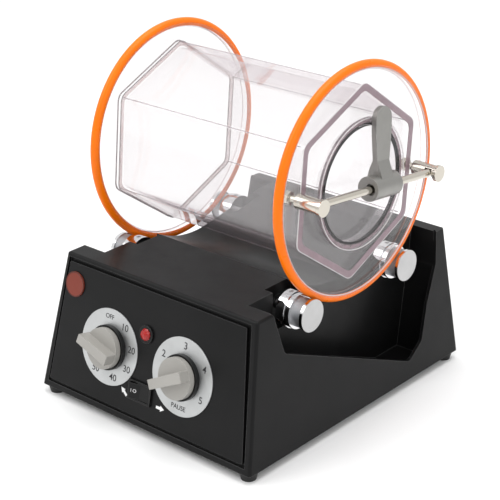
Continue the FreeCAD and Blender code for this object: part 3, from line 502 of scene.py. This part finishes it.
def tyre_seat(side):
    """The lip of the groove that the tyre lies in, a fine pale line round the tyre: a painted
    highlight where the clear lip catches the light.
    """
    mesh = bpy.data.meshes.new(side + "_tyre_seat")
    work = bmesh.new()
    low, high = (Vector(corner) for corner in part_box(side + "_tyre"))
    middle_x = (low.x + high.x) / 2 - drum_middle.x
    loops = []
    outward = 1 if side == "right" else -1
    angles = [math.radians(outward * (LIP_START + LIP_STEP * i)) for i in range(6)]
    section = [(TYRE_CORD + LIP_GAP, angle) for angle in angles]
    section += [(TYRE_CORD + LIP_GAP + LIP_THICK, angle) for angle in reversed(angles)]
    count = 144
    for radius, angle in section:
        out = (TYRE_CENTRE + radius * math.cos(angle)) * MM
        x = middle_x + radius * math.sin(angle) * MM
        loops.append([work.verts.new(drum_place @ Vector((x, y, z)))
                      for y, z in circle(out, count)])
    for one, other in zip(loops, loops[1:] + loops[:1]):
        for index in range(count):
            following = (index + 1) % count
            work.faces.new((one[index], one[following], other[following], other[index]))
    bmesh.ops.recalc_face_normals(work, faces=work.faces)
    work.to_mesh(mesh)
    work.free()
    for face in mesh.polygons:
        face.use_smooth = True
    piece(side + "_tyre_seat", mesh, painted_seat_gleam, "drum")


glue_mauve = sheet_edge("glue mauve", (0.30, 0.195, 0.23), 0.86)
# a pale half-clear film that paints the highlight along a polished sheet edge
painted_edge_gleam = sheet_edge("painted edge gleam", (0.92, 0.9, 0.9), 0.5)
# painted highlight on the clear lip of the tyre's groove
painted_seat_gleam = sheet_edge("painted seat gleam", (0.9, 0.84, 0.85), 0.7)
edge_grey = sheet_edge("edge grey", (0.3, 0.26, 0.27), 0.62)
glue_pink = sheet_edge("glue pink", (0.72, 0.4, 0.38), 0.3)
# painted shade: the darkening that refraction gives where the tube's rounded corners are seen edge
# on
corner_refraction_shade = sheet_edge("corner refraction shade", (0.34, 0.29, 0.31), 0.42)
lid_mauve = sheet_edge("lid mauve", (0.32, 0.22, 0.25), 0.62)

right_face = drum_right - drum_middle.x
left_face = drum_left - drum_middle.x
lid_front = Vector(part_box("lid")[1]).x - drum_middle.x
# outer and inner radius (to the corners of a hexagon), place along the drum, thickness
SEAMS = (
    ("right_glue_line", hexagon_line, 82.3, 76.3, right_face + 5.2 * MM, 0.6, glue_mauve, "drum"),
    # the gleam rings are painted highlights along the sheet's outer edge
    ("right_glue_gleam", hexagon_line, 83.2, 82.4, right_face + 5.2 * MM, 0.6, painted_edge_gleam, "drum"),
    ("left_glue_line", hexagon_line, 81, 77.6, left_face - 0.7 * MM, 0.6, glue_pink, "drum"),
    ("left_glue_edge", hexagon_line, 81.9, 81.1, left_face - 0.7 * MM, 0.6, edge_grey, "drum"),
    ("left_glue_far_edge", hexagon_line, 81.9, 80.6, left_face - 4.6 * MM, 0.6, edge_grey, "drum"),
    ("lid_band", circle, 53.6, 50.5, lid_front - 2.6 * MM, 0.6, lid_mauve, "door"),
    ("lid_gleam", circle, 54.8, 54.1, lid_front - 0.8 * MM, 0.6, painted_edge_gleam, "door"),
    ("lid_back_line", circle, 54.4, 53.2, lid_front - 3.4 * MM, 0.5, edge_grey, "door"),
)
for entry in SEAMS:
    seam(*entry)
corner_lines()
for side in ("left", "right"):
    tyre_seat(side)


# ---------------------------------------------------------------- printing on the panel and dials
print_dark = moulded("dial print", (0.02, 0.02, 0.022), 0.5, 0.05, 800, 0.0)
print_white = moulded("panel print", (0.75, 0.75, 0.75), 0.5, 0.05, 800, 0.0)


def on_panel(u, v, w, tilt=0.0, turn=0.0):
    """A place on the panel: u across it, v up it and w out of it, in millimetres."""
    offset = Vector((u - TIMER_U, v - TIMER_V, w)) * MM
    return (Matrix.Translation(timer_centre + panel_frame @ offset) @ panel_frame
            @ Matrix.Rotation(math.radians(tilt), 4, "Y")
            @ Matrix.Rotation(math.radians(turn), 4, "Z"))


def lettering(name, text, height, at, material, body):
    """Printed characters, a tenth of a millimetre thick."""
    curve = bpy.data.curves.new(name, "FONT")
    curve.body = text
    curve.size = height * MM
    curve.align_x = "CENTER"
    curve.align_y = "CENTER"
    curve.extrude = 0.05 * MM
    curve.offset = height * 0.006 * MM
    holder = bpy.data.objects.new(name, curve)
    bpy.context.scene.collection.objects.link(holder)
    bpy.context.view_layer.update()
    mesh = bpy.data.meshes.new_from_object(holder)
    bpy.data.objects.remove(holder)
    mesh.transform(at)
    obj = piece(name, mesh, material, body)


def printed_shape(name, points, at, material, body):
    """A thin printed shape in the panel's plane."""
    mesh = bpy.data.meshes.new(name)
    work = bmesh.new()
    face = work.faces.new([work.verts.new((u * MM, v * MM, 0)) for u, v in points])
    raised = bmesh.ops.extrude_face_region(work, geom=[face])
    moved = [item for item in raised["geom"] if isinstance(item, bmesh.types.BMVert)]
    bmesh.ops.translate(work, verts=moved, vec=(0, 0, 0.1 * MM))
    bmesh.ops.recalc_face_normals(work, faces=work.faces)
    work.to_mesh(mesh)
    work.free()
    mesh.transform(at)
    piece(name, mesh, material, body)


def polar(angle, radius):
    """Clockwise from straight up, as a dial is read."""
    turn = math.radians(angle)
    return math.sin(turn) * radius, math.cos(turn) * radius


# radius and height of each row of the jewel's corners
JEWEL_ROWS = ((5.3, 1.62), (4.9, 2.6), (3.5, 4.1), (1.5, 4.9))
JEWEL_FACETS = 10


def lamp_jewel():
    """The lamp's cut lens: three rows of facets and a flat top."""
    mesh = bpy.data.meshes.new("lamp_jewel")
    work = bmesh.new()
    count = JEWEL_FACETS
    rows = []
    for row, (radius, rise) in enumerate(JEWEL_ROWS):
        ring = []
        for index in range(count):
            turn = math.tau * (index + row / 2) / count
            ring.append(work.verts.new((radius * math.cos(turn) * MM,
                                        radius * math.sin(turn) * MM, rise * MM)))
        rows.append(ring)
    for one, other in zip(rows, rows[1:]):
        for index in range(count):
            following = (index + 1) % count
            work.faces.new((one[index], one[following], other[index]))
            work.faces.new((one[following], other[following], other[index]))
    work.faces.new(rows[-1])
    work.faces.new(rows[0][::-1])
    bmesh.ops.recalc_face_normals(work, faces=work.faces)
    work.to_mesh(mesh)
    work.free()
    mesh.transform(on_panel(LAMP_U, LAMP_V, 0))
    jewel = piece("lamp_jewel", mesh, red_lens, "base")
    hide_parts("lamp_lens")


# words and numbers printed on each dial, with their angles
LABEL_RADIUS = 25.9
NUMBER_HEIGHT = 8.4
WORD_HEIGHT = 5.6
dials = {
    "timer": (TIMER_U, TIMER_V, (("OFF", -7), ("10", 36), ("20", 80), ("30", 120), ("40", 162),
                                 ("50", 210))),
    "speed": (SPEED_U, SPEED_V, (("PAUSE", 180), ("1", 240), ("2", 300), ("3", 0), ("4", 60),
                                 ("5", 120))),
}
for dial, (centre_u, centre_v, labels) in dials.items():
    for text, angle in labels:
        u, v = polar(angle, LABEL_RADIUS)
        height = NUMBER_HEIGHT if len(text) < 3 else WORD_HEIGHT
        lettering("%s_label_%s" % (dial, text), text, height,
                  on_panel(centre_u + u, centre_v + v, DIAL_TOP), print_dark, "base")
# an arrow that points along the panel
ARROW = ((-4.6, -1.2), (0.2, -1.2), (0.2, -2.6), (4.6, 0), (0.2, 2.6), (0.2, 1.2), (-4.6, 1.2))
ARROW_LIFT = 0.02
# name, place across and up the panel, and turn in degrees
ARROW_PLACES = (("panel_arrow_left", -23, 24.6, 140), ("panel_arrow_right", 19.1, 23.4, 0))
for name, u, v, turn in ARROW_PLACES:
    printed_shape(name, ARROW, on_panel(u, v, ARROW_LIFT, 0, turn), print_white,
                  "base")
ROCKER_MARK_HEIGHT = 4.2
# the raised half of the rocker slopes down to its middle
for text, u, w in (("I", -7.4, 3.86), ("O", -4.2, 2.86)):
    lettering("rocker_mark_" + text, text, ROCKER_MARK_HEIGHT,
              on_panel(ROCKER_U + u, ROCKER_V, w, ROCKER_SLOPE), print_white, "power_rocker")
lamp_jewel()
RIM_OUTER = 10.8
RIM_INNER = 9.9
badge_rim = ring_mesh("badge_rim", circle(RIM_OUTER * MM), circle(RIM_INNER * MM), 0, 0.08 * MM,
                      on_panel(BADGE_U, BADGE_V, BADGE_TOP, -90))
piece("badge_rim", badge_rim, badge_dark, "base")


# ---------------------------------------------------------------- studio
def floor():
    mesh = bpy.data.meshes.new("studio_floor")
    work = bmesh.new()
    bmesh.ops.create_grid(work, x_segments=2, y_segments=2, size=6)
    work.to_mesh(mesh)
    work.free()
    s = Shader("studio floor")
    s.set(Base_Color=s.blend(s.noise(3, 2), (0.88, 0.88, 0.88), (0.9, 0.9, 0.9)))
    s.set(Roughness=0.75)
    obj = piece("studio_floor", mesh, s.material, None)


LIT_POINT = (0, 0, 0.12)


def softbox(name, place, width, power):
    """A square soft light that faces the middle of the machine."""
    data = bpy.data.lights.new(name, "AREA")
    data.shape = "RECTANGLE"
    data.size = width
    data.size_y = width
    data.energy = power
    obj = bpy.data.objects.new(name, data)
    bpy.context.scene.collection.objects.link(obj)
    obj.location = place
    obj.rotation_euler = (Vector(LIT_POINT) - Vector(place)).to_track_quat("-Z", "Y").to_euler()


floor()
# place, width in metres and power in watts
softbox("key", (-0.9, -1.1, 1.5), 1.2, 12)
softbox("fill", (1.5, -0.9, 1.1), 1.1, 5)
softbox("top", (0.1, 0.2, 1.7), 1.3, 15)

world = bpy.data.worlds.new("studio")
world.use_nodes = True
world.node_tree.nodes["Background"].inputs["Color"].default_value = (1, 1, 1, 1)
world.node_tree.nodes["Background"].inputs["Strength"].default_value = 0.9
bpy.context.scene.world = world
# a sight line crosses both discs, the door and both walls of the drum
bpy.context.scene.cycles.transparent_max_bounces = 48
bpy.context.scene.cycles.max_bounces = 16
bpy.context.scene.view_settings.view_transform = "Standard"

# the camera's place in metres, and its direction in degrees
CAMERA_PLACE = (0.79825, -0.89433, 0.6478)
CAMERA_TURN = 41.837
CAMERA_DOWN = 23.651
CAMERA_ROLL = -0.92
LENS = 110.33
camera_data = bpy.data.cameras.new("camera")
camera_data.lens = LENS
camera_data.sensor_width = 36
camera_data.clip_end = 50
camera = bpy.data.objects.new("camera", camera_data)
bpy.context.scene.collection.objects.link(camera)
camera.matrix_world = (Matrix.Translation(CAMERA_PLACE)
                       @ Matrix.Rotation(math.radians(CAMERA_TURN), 4, "Z")
                       @ Matrix.Rotation(math.radians(90 - CAMERA_DOWN), 4, "X")
                       @ Matrix.Rotation(math.radians(CAMERA_ROLL), 4, "Z"))
bpy.context.scene.camera = camera
